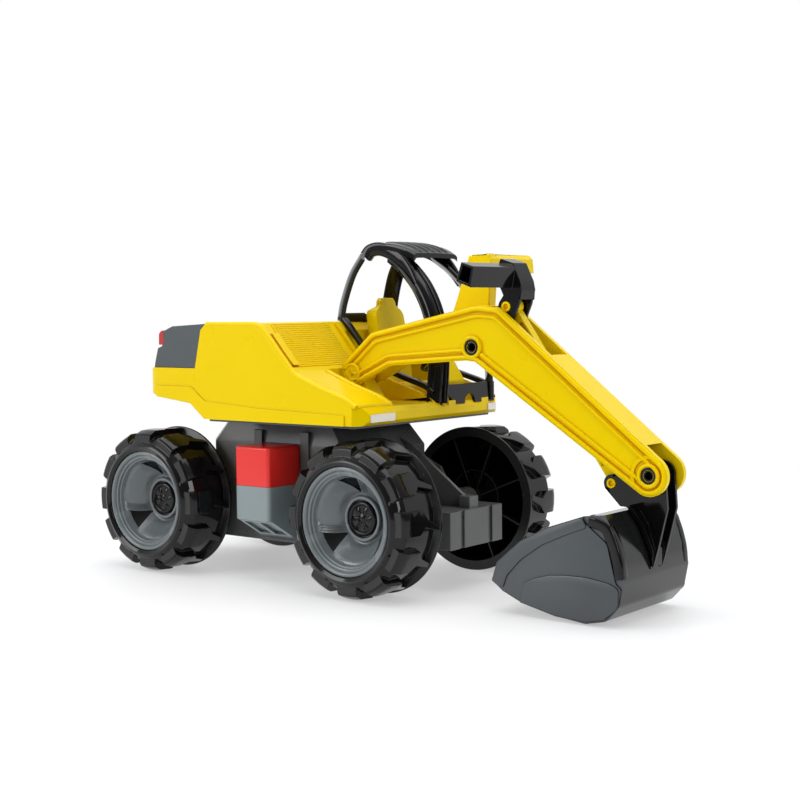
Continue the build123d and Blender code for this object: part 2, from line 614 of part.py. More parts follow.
def make_bracket():
    """Black bracket on the back of the bucket: two ear plates, hub tube and a web that tapers."""
    x, z = bucket_pivot
    ear_x, ear_z = rod_low_pin
    ear_face = outline([
        (ear_x - 6.5, ear_z - 4), (354, 91.5), (368, 91), (376, 77), (382.2, 57), (383.9, 42), (389, 60),
        (397, 92), (x + 11, z + 4), (x - 2, z + 11), (x - 14, z + 4), (x - 26, z + 1),
        (ear_x + 1, ear_z + 7.6)])
    near_y = boom_y - 9.5
    far_y = boom_y + 9.5
    bracket = slab(ear_face, near_y, near_y + 3) + slab(ear_face, far_y - 3, far_y)
    for y_from, y_to in ((near_y, near_y + 3), (far_y - 3, far_y)):
        bracket += disc(rod_low_pin, 7.4, y_from, y_to) + disc(bucket_pivot, 11.5, y_from, y_to)
    bracket += disc(bucket_pivot, 7.5, near_y, far_y)
    bracket += disc(bucket_pivot, hub_radius, boom_y - boom_half_width - 1.6, boom_y + boom_half_width + 1.6)
    back = outline([(366, 93.5), (376, 77), (382.2, 57), (383.9, 42), (386, 58), (380, 79), (369, 95)])
    web_reach = 12
    taper = Polyline([
        (0, near_y - web_reach, 97), (0, near_y, 44), (0, far_y, 44), (0, far_y + web_reach, 97)], close=True)
    web = slab(back, near_y - web_reach, far_y + web_reach)
    bracket += web & extrude(make_face(taper).face(), amount=400, dir=(1, 0, 0))
    bracket -= slab(bucket_profile(), boom_y - 60, boom_y + 60)
    return bracket - disc(bucket_pivot, 3.3, boom_y - 40, boom_y + 40)


def make_link_pin():
    """Pin fixed in the bucket ears: thick ends, thin middle inside the rod's loose eye."""
    pin = disc(rod_low_pin, 2.2, boom_y - 9.5, boom_y + 9.5)
    for side in (-1, 1):
        limits = sorted((boom_y + side * 6.5, boom_y + side * 10.6))
        pin += disc(rod_low_pin, 4.1, *limits)
    return pin - disc(rod_low_pin, 2.4, boom_y - 12, boom_y - 9)


def make_everything():
    """Build and write every piece of the toy."""
    os.makedirs("parts", exist_ok=True)
    make_wheels()
    make_axles()
    make_chassis()
    make_belly()
    make_steps()
    body = make_body()
    cover, lights = make_engine_cover()
    save("body_shell", body - cover)
    save("engine_cover", cover)
    for name, light in lights.items():
        save(name, light)
    save("base_plate", make_base())
    make_headlights()
    save("boom_post", make_boom_post())
    save("driver_seat", make_seat())
    column, steering_wheel = make_console()
    save("steering_column", column)
    save("steering_wheel", steering_wheel)
    save("cab_frame", make_cab_frame() - body)
    near_half = make_boom_half(-1)
    far_half = make_boom_half(1)
    save("boom_half_right", near_half)
    save("boom_half_left", far_half)
    save("boom_grip", make_grip() - far_half)
    save("boom_pivot_pin", make_boom_pin())
    save("lever", make_lever())
    rod, pin = make_rod()
    save("push_rod", rod)
    save("rod_top_pin", pin)
    bucket = make_bucket()
    link_pin = make_link_pin()
    save("bucket_scoop", bucket)
    bracket = make_bracket() - bucket - link_pin
    save("bucket_bracket", bracket.solids().sort_by(SortBy.VOLUME)[-1])
    save("bucket_link_pin", link_pin)


make_everything()
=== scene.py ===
import bpy
import bmesh
import json
import math
from mathutils import Matrix, Vector


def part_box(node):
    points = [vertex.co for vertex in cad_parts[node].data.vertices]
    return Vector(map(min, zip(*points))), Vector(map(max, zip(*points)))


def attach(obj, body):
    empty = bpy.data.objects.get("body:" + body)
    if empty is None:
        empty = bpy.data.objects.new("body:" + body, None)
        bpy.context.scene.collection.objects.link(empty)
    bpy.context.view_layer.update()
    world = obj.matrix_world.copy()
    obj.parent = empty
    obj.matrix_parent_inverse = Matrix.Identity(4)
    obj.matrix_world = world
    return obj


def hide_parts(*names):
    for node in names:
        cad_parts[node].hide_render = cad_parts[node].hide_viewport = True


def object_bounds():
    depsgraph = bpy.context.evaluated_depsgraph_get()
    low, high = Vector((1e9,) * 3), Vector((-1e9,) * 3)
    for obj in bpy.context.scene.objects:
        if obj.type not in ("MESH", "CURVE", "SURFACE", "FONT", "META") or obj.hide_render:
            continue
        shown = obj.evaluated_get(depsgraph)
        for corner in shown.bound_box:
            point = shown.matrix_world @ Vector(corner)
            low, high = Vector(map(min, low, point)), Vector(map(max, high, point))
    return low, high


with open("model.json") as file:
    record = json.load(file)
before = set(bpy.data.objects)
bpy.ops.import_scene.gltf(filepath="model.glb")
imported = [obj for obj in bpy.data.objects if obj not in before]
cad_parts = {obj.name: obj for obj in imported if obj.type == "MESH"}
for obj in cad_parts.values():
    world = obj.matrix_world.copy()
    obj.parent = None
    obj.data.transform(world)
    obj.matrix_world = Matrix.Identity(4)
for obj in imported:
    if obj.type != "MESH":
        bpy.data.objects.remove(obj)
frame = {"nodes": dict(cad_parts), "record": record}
cad_low, cad_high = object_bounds()

# The vehicle frame, in millimetres: X = 0 midway between the axles, Y = 0 on the centre plane, Z = 0 on the
# ground, with X forward and Y to the vehicle's left.
MM = 0.001
front_low, front_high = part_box("axle_rod_front")
rear_low, rear_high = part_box("axle_rod_rear")
mid_x = (front_low.x + front_high.x + rear_low.x + rear_high.x) / 4
body_of_node = {n: b for b, nodes in frame["record"]["behaviour"]["bodies"].items() for n in nodes}
slot_of_node = {s["node"]: s["material_slot"] for s in frame["record"]["subparts"]}


def at(x, y, z):
    """A point of the vehicle frame, in metres in the model's own frame."""
    return Vector((x * MM + mid_x, y * MM, z * MM))


def share_between(value, low, high):
    """A share that rises from 0 at low to 1 at high, and stays there."""
    return min(1.0, max(0.0, (value - low) / (high - low)))


# ------------------------------------------------------------------ materials
CLOUD_SCALE, PATCH_SCALE = 14.0, 38.0     # noise that varies the colour, and noise that varies the gloss
SIDE_FROM, SIDE_FULL = 0.86, 0.95         # the normal's Y part where a face begins to be a side, and is one
OPEN_NONE, OPEN_FULL = 0.25, 0.85         # openness where the painted crevice shade is full, and where it has gone
EDGE_FROM, EDGE_FULL = 0.54, 0.64         # pointiness where an edge starts to turn pale, partly rubbed wear and partly painted highlight, and where it fully has
SKIN_DEPTH = 0.0004
BLACK, WHITE = (0, 0, 0), (1, 1, 1)


def noise(nodes, links, place, scale, detail):
    """A noise value in the object's own space."""
    node = nodes.new("ShaderNodeTexNoise")
    node.inputs["Scale"].default_value = scale
    node.inputs["Detail"].default_value = detail
    links.new(place.outputs["Object"], node.inputs["Vector"])
    return node.outputs["Fac"]


def ramp(nodes, links, value, low, high, first, second):
    """Colours first to second as value goes from low to high."""
    node = nodes.new("ShaderNodeValToRGB")
    node.color_ramp.elements[0].position = low
    node.color_ramp.elements[1].position = high
    node.color_ramp.elements[0].color = [*first, 1]
    node.color_ramp.elements[1].color = [*second, 1]
    links.new(value, node.inputs["Fac"])
    return node.outputs["Color"]


def blend_colours(nodes, links, share, first, second):
    """first where share is 0, second where it is 1."""
    node = nodes.new("ShaderNodeMixRGB")
    links.new(share, node.inputs["Fac"])
    for socket, colour in (("Color1", first), ("Color2", second)):
        if isinstance(colour, tuple):
            node.inputs[socket].default_value = [*colour, 1]
        else:
            links.new(colour, node.inputs[socket])
    return node.outputs["Color"]


def scaled(colour, factor):
    """A lighter or darker colour."""
    return tuple(min(1.0, c * factor) for c in colour)


def side_share(nodes, links, place):
    """1 on faces that look along Y, 0 on the others, in the object's own space."""
    split = nodes.new("ShaderNodeSeparateXYZ")
    links.new(place.outputs["Normal"], split.inputs[0])
    size = nodes.new("ShaderNodeMath")
    size.operation = "ABSOLUTE"
    links.new(split.outputs["Y"], size.inputs[0])
    return ramp(nodes, links, size.outputs[0], SIDE_FROM, SIDE_FULL, BLACK, WHITE)


def cloudy(nodes, links, cloud, colour, shift):
    """The colour, a little darker and lighter in places."""
    return ramp(nodes, links, cloud, 0.3, 0.7, scaled(colour, 1 - shift), scaled(colour, 1 + shift))


def plastic(name, colour, roughness, grain=900.0, bump=0.04, shift=0.06, coat=0.0, wear_and_highlight=0.0, painted_crevice_shade=None,
            reach=0.012, side=None, tint=(1.0, 1.0, 1.0), ior=1.48):
    """Moulded plastic: a faint cloudy colour, uneven gloss, a fine skin and pale edges, partly rubbed wear
    and partly painted highlight.

    The crevice colour is painted shade: crevices darken towards it up to reach metres from the next surface.
    side gives faces that look along Y a second colour and roughness; on the tyres that colour is lighter,
    painted in as fill light. The edge amount is how far edges take the pale colour.
    """
    mat = bpy.data.materials.new(name)
    mat.use_nodes = True
    nodes, links = mat.node_tree.nodes, mat.node_tree.links
    shader = nodes["Principled BSDF"]
    place = nodes.new("ShaderNodeTexCoord")
    cloud = noise(nodes, links, place, CLOUD_SCALE, 5.0)
    shade = cloudy(nodes, links, cloud, colour, shift)
    patchy = noise(nodes, links, place, PATCH_SCALE, 6.0)
    gloss = ramp(nodes, links, patchy, 0.2, 0.8, (roughness * 0.8,) * 3, (roughness * 1.25,) * 3)
    # faces along Y take a second colour; on the tyres it is lighter, painted in as fill light
    if side:
        side_colour, side_roughness = side
        share = side_share(nodes, links, place)
        shade = blend_colours(nodes, links, share, shade, cloudy(nodes, links, cloud, side_colour, shift))
        satin = ramp(nodes, links, patchy, 0.2, 0.8, (side_roughness * 0.85,) * 3,
                     (side_roughness * 1.2,) * 3)
        gloss = blend_colours(nodes, links, share, gloss, satin)
    # crevices and recesses darkened towards the given colour by occlusion: painted shade
    if painted_crevice_shade:
        hidden = nodes.new("ShaderNodeAmbientOcclusion")
        hidden.samples = 6
        hidden.inputs["Distance"].default_value = reach
        depth = ramp(nodes, links, hidden.outputs["AO"], OPEN_NONE, OPEN_FULL, WHITE, BLACK)
        shade = blend_colours(nodes, links, depth, shade, painted_crevice_shade)
    # edges paler: partly rubbed wear, partly a painted highlight
    if wear_and_highlight > 0:
        edge = nodes.new("ShaderNodeNewGeometry")
        rubbed_and_highlit = ramp(nodes, links, edge.outputs["Pointiness"], EDGE_FROM, EDGE_FULL, BLACK, (wear_and_highlight,) * 3)
        shade = blend_colours(nodes, links, rubbed_and_highlit, shade, tuple(min(1, c * 1.5 + 0.03) for c in colour))
    links.new(shade, shader.inputs["Base Color"])
    links.new(gloss, shader.inputs["Roughness"])
    lift = nodes.new("ShaderNodeBump")
    lift.inputs["Strength"].default_value = bump
    lift.inputs["Distance"].default_value = SKIN_DEPTH
    links.new(noise(nodes, links, place, grain, 3.0), lift.inputs["Height"])
    links.new(lift.outputs["Normal"], shader.inputs["Normal"])
    shader.inputs["IOR"].default_value = ior
    shader.inputs["Specular Tint"].default_value = (*tint, 1)
    shader.inputs["Coat Weight"].default_value = coat
    shader.inputs["Coat Roughness"].default_value = 0.08
    return mat


def steel(name):
    """Plain steel rod with a fine skin."""
    mat = plastic(name, (0.55, 0.55, 0.55), 0.3, grain=1600.0, bump=0.08)
    mat.node_tree.nodes["Principled BSDF"].inputs["Metallic"].default_value = 1.0
    return mat


# the crevice colours below are painted shade; the pale edges are partly rubbed wear and partly painted
# highlight
MATERIALS = {
    # yellow crevices take a painted orange shade, for the warm shade between yellow faces
    "yellow_plastic": plastic("yellow_plastic", (0.81, 0.585, 0.0), 0.3, shift=0.02, wear_and_highlight=0.1,
                              painted_crevice_shade=(0.70, 0.30, 0.0), reach=0.006, tint=(1.0, 0.7, 0.02)),
    "chassis_grey": plastic("chassis_grey", (0.092, 0.095, 0.096), 0.3, shift=0.1, bump=0.08, wear_and_highlight=0.15,
                            painted_crevice_shade=(0.012, 0.012, 0.012)),
    "step_grey": plastic("step_grey", (0.22, 0.265, 0.275), 0.32, shift=0.08, bump=0.06, wear_and_highlight=0.1,
                         painted_crevice_shade=(0.04, 0.045, 0.045)),
    "cap_red": plastic("cap_red", (0.76, 0.02, 0.014), 0.24, shift=0.04, coat=0.1, wear_and_highlight=0.05),
    "cover_grey": plastic("cover_grey", (0.062, 0.074, 0.080), 0.5, grain=1500.0, bump=0.14, shift=0.08),
    "rim_grey": plastic("rim_grey", (0.145, 0.166, 0.172), 0.24, shift=0.08, coat=0.2, wear_and_highlight=0.3,
                        painted_crevice_shade=(0.02, 0.023, 0.025), reach=0.009),
    # tyre faces that look along Y get a lighter colour, painted in as fill light for sidewalls the lamps
    # leave dark
    "tyre_black": plastic("tyre_black", (0.0045, 0.0045, 0.005), 0.1, shift=0.2, bump=0.03, wear_and_highlight=0.1,
                          ior=1.38, side=((0.021, 0.021, 0.022), 0.24)),
    "black_plastic": plastic("black_plastic", (0.0035, 0.0035, 0.004), 0.1, shift=0.2, bump=0.03, wear_and_highlight=0.1,
                             ior=1.36),
    "bucket_grey": plastic("bucket_grey", (0.007, 0.0075, 0.008), 0.12, shift=0.1, bump=0.03, wear_and_highlight=0.1,
                           painted_crevice_shade=(0.003, 0.003, 0.003), reach=0.003, side=((0.058, 0.068, 0.074), 0.34)),
    "light_red": plastic("light_red", (0.45, 0.012, 0.012), 0.25, shift=0.05, coat=0.4),
    "light_clear": plastic("light_clear", (0.82, 0.81, 0.74), 0.3, shift=0.04, coat=0.3),
    "steel": steel("steel"),
}


# ------------------------------------------------------------------ pieces
WELD_DISTANCE = 2e-6


def linked(name, bm):
    """A new object of the scene from a bmesh, which is freed."""
    mesh = bpy.data.meshes.new(name)
    bm.to_mesh(mesh)
    bm.free()
    obj = bpy.data.objects.new(name, mesh)
    bpy.context.scene.collection.objects.link(obj)
    return obj


def finish_piece(obj, body, slot, nodes=()):
    """Give a new piece its slot's material and its body, and hide the CAD nodes it stands for."""
    obj.data.materials.clear()
    obj.data.materials.append(MATERIALS[slot])
    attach(obj, body)
    if nodes:
        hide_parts(*nodes)


def shade_smooth(obj, sharp_angle=None):
    """Smooth shading, with sharp edges where faces meet at more than sharp_angle degrees."""
    for face in obj.data.polygons:
        face.use_smooth = True
    if sharp_angle is not None:
        obj.data.set_sharp_from_angle(angle=math.radians(sharp_angle))


def edges_done(obj, width, segments=2, angle=30.0):
    """Edges sharper than angle degrees rounded by width millimetres, or only kept sharp at width 0."""
    if width == 0:
        shade_smooth(obj, angle)
        return
    shade_smooth(obj)
    bevel = obj.modifiers.new("edges", "BEVEL")
    bevel.width = width * MM
    bevel.segments = segments
    bevel.limit_method = "ANGLE"
    bevel.angle_limit = math.radians(angle)
    bevel.use_clamp_overlap = False
    bevel.harden_normals = True
    bevel.miter_outer = "MITER_ARC"


def refined(node, width):
    """A CAD node as one clean mesh, with its edges rounded by width."""
    bm = bmesh.new()
    bm.from_mesh(frame["nodes"][node].data)
    bmesh.ops.remove_doubles(bm, verts=bm.verts, dist=WELD_DISTANCE)
    obj = linked(node + "_form", bm)
    if "custom_normal" in obj.data.attributes:
        obj.data.attributes.remove(obj.data.attributes["custom_normal"])
    edges_done(obj, width)
    finish_piece(obj, body_of_node[node], slot_of_node[node], [node])


def piece(name, bm, body, slot, nodes=(), width=0.0, segments=2, angle=30.0):
    """A finished object from a bmesh whose faces may look either way."""
    bmesh.ops.recalc_face_normals(bm, faces=bm.faces)
    obj = linked(name, bm)
    edges_done(obj, width, segments, angle)
    finish_piece(obj, body, slot, nodes)


# ------------------------------------------------------------------ mesh building, in millimetres
def spline(points, steps):
    """A smooth run through the points, with steps parts between each two."""
    pts = [Vector(p) for p in points]
    ends = [2 * pts[0] - pts[1]] + pts + [2 * pts[-1] - pts[-2]]
    run = []
    for i in range(1, len(ends) - 2):
        a, b, c, d = ends[i - 1:i + 3]
        for k in range(steps):
            t = k / steps
            run.append(0.5 * ((2 * b) + (c - a) * t + (2 * a - 5 * b + 4 * c - d) * t * t
                              + (3 * b - 3 * c + d - a) * t * t * t))
    run.append(pts[-1])
    return run


def band_between(bm, first, second):
    """Faces between two closed loops with as many points."""
    for k in range(len(first)):
        j = (k + 1) % len(first)
        bm.faces.new((first[k], first[j], second[j], second[k]))


def solid_between(bm, first, second):
    """A closed solid from its two end loops."""
    bm.faces.new(first)
    bm.faces.new(second[::-1])
    for i in range(len(first)):
        j = (i + 1) % len(first)
        bm.faces.new((first[i], second[i], second[j], first[j]))


def sweep(bm, points, across, section, taper=None):
    """A closed section carried along a run of points.

    across is the section's first axis. taper gives the section's scale from the share of the run.
    """
    rings = []
    for i, point in enumerate(points):
        ahead = (points[min(i + 1, len(points) - 1)] - points[max(i - 1, 0)]).normalized()
        side = (Vector(across) - ahead * ahead.dot(Vector(across))).normalized()
        out = side.cross(ahead)
        size = 1.0 if taper is None else taper(i / (len(points) - 1))
        rings.append([bm.verts.new(at(*(point + side * (u * size) + out * (w * size)))) for u, w in section])
    for first, second in zip(rings, rings[1:]):
        band_between(bm, first, second)
    bm.faces.new(rings[0][::-1])
    bm.faces.new(rings[-1])


def rounded(half_u, half_w, radius, steps=3):
    """A rectangle section with round corners."""
    section = []
    for cu, cw, start in ((1, 1, 0), (-1, 1, 90), (-1, -1, 180), (1, -1, 270)):
        for k in range(steps + 1):
            angle = math.radians(start + 90 * k / steps)
            section.append((cu * (half_u - radius) + radius * math.cos(angle),
                            cw * (half_w - radius) + radius * math.sin(angle)))
    return section


def prism(bm, corners, low, high, plane="XZ"):
    """An XZ or YZ polygon made solid between two values along the axis that its plane leaves out."""
    def put(a, b, c):
        return at(a, c, b) if plane == "XZ" else at(c, a, b)
    solid_between(bm, *([bm.verts.new(put(a, b, c)) for a, b in corners] for c in (low, high)))


MITRE_LIMIT = 0.35


def inset(corners, distance):
    """A closed outline moved inwards by the same distance all round."""
    area = sum(a[0] * b[1] - b[0] * a[1] for a, b in zip(corners, corners[1:] + corners[:1]))
    way = 1 if area > 0 else -1
    moved = []
    for i, corner in enumerate(corners):
        before, after = Vector(corners[i - 1]), Vector(corners[(i + 1) % len(corners)])
        here = Vector(corner)
        first, second = (here - before).normalized(), (after - here).normalized()
        normals = [Vector((-d.y, d.x)) * way for d in (first, second)]
        middle = (normals[0] + normals[1]).normalized()
        moved.append(tuple(here + middle * (distance / max(MITRE_LIMIT, middle.dot(normals[0])))))
    return moved


def eased(corners, radius, steps=4, closed=True):
    """An outline with its corners rounded off, each over radius at most to both sides."""
    run = []
    count = len(corners)
    for i, corner in enumerate(corners):
        if not closed and i in (0, count - 1):
            run.append(tuple(corner))
            continue
        here = Vector(corner)
        before, after = Vector(corners[i - 1]) - here, Vector(corners[(i + 1) % count]) - here
        start = here + before.normalized() * min(radius, before.length * 0.45)
        end = here + after.normalized() * min(radius, after.length * 0.45)
        for k in range(steps + 1):
            t = k / steps
            run.append(tuple(start * (1 - t) ** 2 + here * 2 * t * (1 - t) + end * t * t))
    return run


# across and up from the face it stands on, as shares of the half width and the height
RIDGE_SECTION = [(-1.0, -0.5), (-0.92, 0.45), (-0.62, 0.88), (-0.25, 1.0), (0.25, 1.0), (0.62, 0.88),
                 (0.92, 0.45), (1.0, -0.5)]
ROOT = -0.5     # how far raised forms reach below the face they stand on


def ridge(bm, path, skin_y, way, half_width, height, closed=True):
    """A rounded raised line along an XZ path, on a face at skin_y and rising towards way along Y."""
    count = len(path)
    rings = []
    for i, point in enumerate(path):
        here = Vector(point)
        before = Vector(path[i - 1]) if closed or i else here
        after = Vector(path[(i + 1) % count]) if closed or i < count - 1 else here
        ahead = (after - before).normalized()
        side = Vector((-ahead.y, ahead.x))
        rings.append([bm.verts.new(at(here.x + side.x * half_width * u, skin_y + way * height * h,
                                      here.y + side.y * half_width * u)) for u, h in RIDGE_SECTION])
    for first, second in zip(rings, rings[1:]):
        band_between(bm, first, second)
    if closed:
        band_between(bm, rings[-1], rings[0])
    else:
        bm.faces.new(rings[0][::-1])
        bm.faces.new(rings[-1])


def clear_of(path, centre, radius, step=3.0):
    """The run of a closed path outside a circle, and whether it is still closed."""
    dense = []
    for a, b in zip(path, path[1:] + path[:1]):
        parts = max(1, math.ceil(math.dist(a, b) / step))
        dense += [(a[0] + (b[0] - a[0]) * k / parts, a[1] + (b[1] - a[1]) * k / parts) for k in range(parts)]
    inside = [math.dist(point, centre) < radius for point in dense]
    if not any(inside):
        return path, True
    start = next(i for i in range(len(dense)) if inside[i - 1] and not inside[i])
    turned = dense[start:] + dense[:start]
    return [point for point in turned if math.dist(point, centre) >= radius], False


def raised_plate(bm, corners, skin_y, way, height, round_by):
    """A flat plate in an XZ outline, standing on a face at skin_y, with a rounded border."""
    rings = []
    for drawn_in, up in ((0.0, ROOT), (0.0, height - round_by),
                         (round_by * 0.3, height - round_by * 0.3), (round_by, height)):
        outline = corners if drawn_in == 0 else inset(corners, drawn_in)
        rings.append([bm.verts.new(at(x, skin_y + way * up, z)) for x, z in outline])
    for first, second in zip(rings, rings[1:]):
        band_between(bm, first, second)
    bm.faces.new(rings[0])
    bm.faces.new(rings[-1])


def collar(bm, centre, skin_y, way, profile, count=48):
    """A turned ring about an XZ centre, from a closed profile of (radius, height above skin_y)."""
    rings = []
    for k in range(count):
        turn = 2 * math.pi * k / count
        rings.append([bm.verts.new(at(centre[0] + r * math.cos(turn), skin_y + way * h,
                                      centre[1] + r * math.sin(turn))) for r, h in profile])
    for k in range(count):
        band_between(bm, rings[k], rings[(k + 1) % count])


# ------------------------------------------------------------------ cab
CAB_MID_Y = 54.0
CAB_SIDE_Y, CAB_SIDE_Z = 3.5, 175.0      # the right side's outer face, and the height where it is there
CAB_LEAN = math.tan(math.radians(5.5))
# XZ lines of one side frame
FRONT_PILLAR = [(133, 167), (133.3, 186), (132.6, 210), (126, 245), (112, 272), (93.5, 292), (75, 305)]
REAR_PILLAR = [(12, 243.5), (15, 262), (24, 288), (36, 306)]
ROOF_RAIL = [(41.5, 306), (47, 311.4), (57, 313), (67, 311), (77, 306.6), (87, 300), (96, 290.5), (104, 278)]
SILL_RAIL = [(13, 247.5), (20, 243.5), (42, 221.5), (61, 203.5), (91, 192), (121, 183), (133, 176.5)]
REAR_RAIL = [(15, 15, 246.5), (15, 54, 246.5), (15, 93, 246.5)]     # X, Y and Z, from side to side
# the front pillar's section: a flat back, and three raised lines down its front
FRONT_SECTION = [(-10, -2), (-10, 1.7), (-9, 2.5), (-7.6, 2.4), (-6.6, 1.4), (-5.8, 1.2), (-4.6, 2.6),
                 (-2.4, 3.7), (0.4, 3.9), (3, 3.1), (4.6, 1.6), (5.3, 1.1), (6, 2.1), (6.8, 2.6), (7.6, 2.1),
                 (8.1, 1.2), (8.7, 1.9), (9.4, 1.9), (10, 1.1), (10, -2), (6, -2.6), (-6, -2.6)]
BRACKET = [(0, 251.5), (33, 251.5), (35, 242.5), (4, 232)]          # inwards from the side, and Z
BRACKET_X = (12.0, 15.0, 18.0)           # rear face, plate's front face, border's front face
PANEL_X, PANEL_Y, PANEL_Z = (134.3, 137.9), (11.5, 98.0), (164.5, 183.5)
NOTCH_YS, NOTCH_Z, NOTCH_HALF_Y, NOTCH_RISE = (20, 57), 167.0, 8.0, 6.5


def cab_side(side, x, z, inward):
    """A point of one cab side frame: the sides lean towards each other as they rise."""
    depth = CAB_SIDE_Y + (z - CAB_SIDE_Z) * CAB_LEAN + inward
    return Vector((x, depth if side < 0 else 2 * CAB_MID_Y - depth, z))


def add_side_frame(bm, side):
    """Pillars, roof rail and sill rail of one side: -1 right, 1 left."""
    def run_of(line, inward, steps):
        return spline([cab_side(side, x, z, inward) for x, z in line], steps)
    section = [(u, -side * w) for u, w in FRONT_SECTION]
    sweep(bm, run_of(FRONT_PILLAR, 7.5, 7), (0.72, -side * 0.7, 0), section)
    sweep(bm, run_of(REAR_PILLAR, 5.5, 7), (-0.8, -side * 0.6, 0), rounded(8, 2.4, 1.5))
    sweep(bm, run_of(ROOF_RAIL, 4.0, 6), (0, 1, 0), rounded(3.6, 6.6, 2.2),
          lambda t: 1.0 - 1.5 * max(0.0, t - 0.7))
    sweep(bm, run_of(SILL_RAIL, 3.3, 5), (0, 1, 0), rounded(3.2, 2.6, 1.0))


def add_bracket(bm, side):
    """Four-cornered bracket beside the seat, with a raised border."""
    foot_y = cab_side(side, 15, 245, 3).y
    plate = [(foot_y - side * across, z) for across, z in BRACKET]
    rear, front, border = BRACKET_X
    prism(bm, plate, rear, front, "YZ")
    middle_y, middle_z = (sum(p[axis] for p in plate) / len(plate) for axis in (0, 1))
    inner = [(y + (middle_y - y) * 0.17, z + (middle_z - z) * 0.3) for y, z in plate]
    for k in range(len(plate)):
        j = (k + 1) % len(plate)
        prism(bm, [plate[k], plate[j], inner[j], inner[k]], front, border, "YZ")


def make_cab():
    """Black cab frame: two leaning side frames, brackets, rear rail and notched front panel."""
    bm = bmesh.new()
    for side in (-1, 1):
        add_side_frame(bm, side)
        add_bracket(bm, side)
    sweep(bm, spline(REAR_RAIL, 4), (1, 0, 0), rounded(3.4, 4.0, 1.2))
    outline = [(PANEL_Y[0], PANEL_Z[0])]
    for y in NOTCH_YS:
        for turn in (math.radians(a) for a in range(200, -21, -20)):
            outline.append((y + NOTCH_HALF_Y * math.cos(turn), NOTCH_Z + NOTCH_RISE * math.sin(turn)))
    outline += [(PANEL_Y[1], PANEL_Z[0]), (PANEL_Y[1], PANEL_Z[1]), (PANEL_Y[0], PANEL_Z[1])]
    prism(bm, outline, *PANEL_X, "YZ")
    piece("cab_frame_form", bm, "upper", "black_plastic", ["cab_frame"], 0.35, 2, 40)


ROOF_LINE = [(43, 312, 0), (46, 316, 0), (51, 318.2, 0), (60, 319.2, 0), (72, 318.4, 0), (85, 315.6, 0),
             (94, 312.2, 0), (101, 308.4, 0)]     # X and Z, run as X and Y of the spline
ROOF_COLUMNS, ROOF_HALF_Y = 44, 37.5
RIB_PITCH, RIB_HEIGHT, RIBS_FROM, RIBS_TO = 10.5, 1.5, 0.34, 0.97


def roof_half_y(share):
    """Half the roof's width, which narrows towards the visor's end."""
    return ROOF_HALF_Y - 2.5 * share_between(share, 0.75, 1.0)


def rib_height(share, across):
    """Height of the visor's ribs, from the share of the roof's length and of its half width."""
    if not RIBS_FROM < share < RIBS_TO or abs(across) >= 0.8:
        return 0.0
    wave = max(0.0, math.cos(roof_half_y(share) * across / RIB_PITCH * 2 * math.pi))
    rise = min(share_between(share, RIBS_FROM, RIBS_FROM + 0.05), share_between(RIBS_TO - share, 0.0, 0.03))
    return RIB_HEIGHT * wave ** 0.6 * rise


def make_cab_roof():
    """Arched roof: smooth at the rear, with raised ribs on the visor, and a turned-down edge."""
    bm = bmesh.new()
    run = spline(ROOF_LINE, 5)
    rows = []
    for i, point in enumerate(run):
        share = i / (len(run) - 1)
        row = []
        for k in range(ROOF_COLUMNS + 1):
            across = -1 + 2 * k / ROOF_COLUMNS
            edge = share_between(abs(across), 0.86, 1.0)
            drop = 2.4 * edge * edge + 0.8 * across * across
            row.append((point.x, CAB_MID_Y + roof_half_y(share) * across,
                        point.y - drop + rib_height(share, across)))
        rows.append(row)
    top = [[bm.verts.new(at(*p)) for p in row] for row in rows]
    low = [[bm.verts.new(at(x, y, z - 3.4 - 1.2 * i / len(rows))) for x, y, z in row]
           for i, row in enumerate(rows)]
    for i in range(len(rows) - 1):
        for k in range(ROOF_COLUMNS):
            bm.faces.new((top[i][k], top[i][k + 1], top[i + 1][k + 1], top[i + 1][k]))
            bm.faces.new((low[i][k], low[i + 1][k], low[i + 1][k + 1], low[i][k + 1]))
    for i in range(len(rows) - 1):
        bm.faces.new((top[i][0], top[i + 1][0], low[i + 1][0], low[i][0]))
        bm.faces.new((top[i][-1], low[i][-1], low[i + 1][-1], top[i + 1][-1]))
    for k in range(ROOF_COLUMNS):
        bm.faces.new((top[0][k], low[0][k], low[0][k + 1], top[0][k + 1]))
        bm.faces.new((top[-1][k], top[-1][k + 1], low[-1][k + 1], low[-1][k]))
    piece("cab_roof", bm, "upper", "black_plastic", [], 0.0, 2, 50)


# ------------------------------------------------------------------ wheels
WHEEL_INNER_Y, WHEEL_RADIUS, WHEEL_WIDTH = 70.0, 70.0, 53.0
DISH_FLOOR = 26.0
HALF_WHEELBASE = (front_low.x + front_high.x - rear_low.x - rear_high.x) / 4 / MM
RIM_TOP = WHEEL_WIDTH - 3
SECTORS, SECTOR_SPAN = 3, 120            # spokes and windows round the rim, and degrees from one to the next
SECTOR_START = 143                       # degrees to the first window's middle
DISH_RADII = [22.2, 23.5, 25.0, 26.5, 28.0, 29.5, 31.0, 32.5, 34.0, 35.5, 37.0, 38.0, 39.0]
WINDOW_RADII = (25.0, 37.0)
WINDOW_COLUMNS, SPOKE_COLUMNS = 4, 11
# the raised lines beside a window: how far along the circle, and how high
LINE_PLACES = [0.0, 0.5, 1.6, 2.0, 2.6, 3.0, 4.0, 4.4, 5.0, 5.4, 6.4, 6.8, 7.4, 7.8]
LINE_HEIGHTS = [-1.6, 0.0, 0.0, 1.2, 1.2, 0.0, 0.0, 1.2, 1.2, 0.0, 0.0, 1.2, 1.2, 0.0]
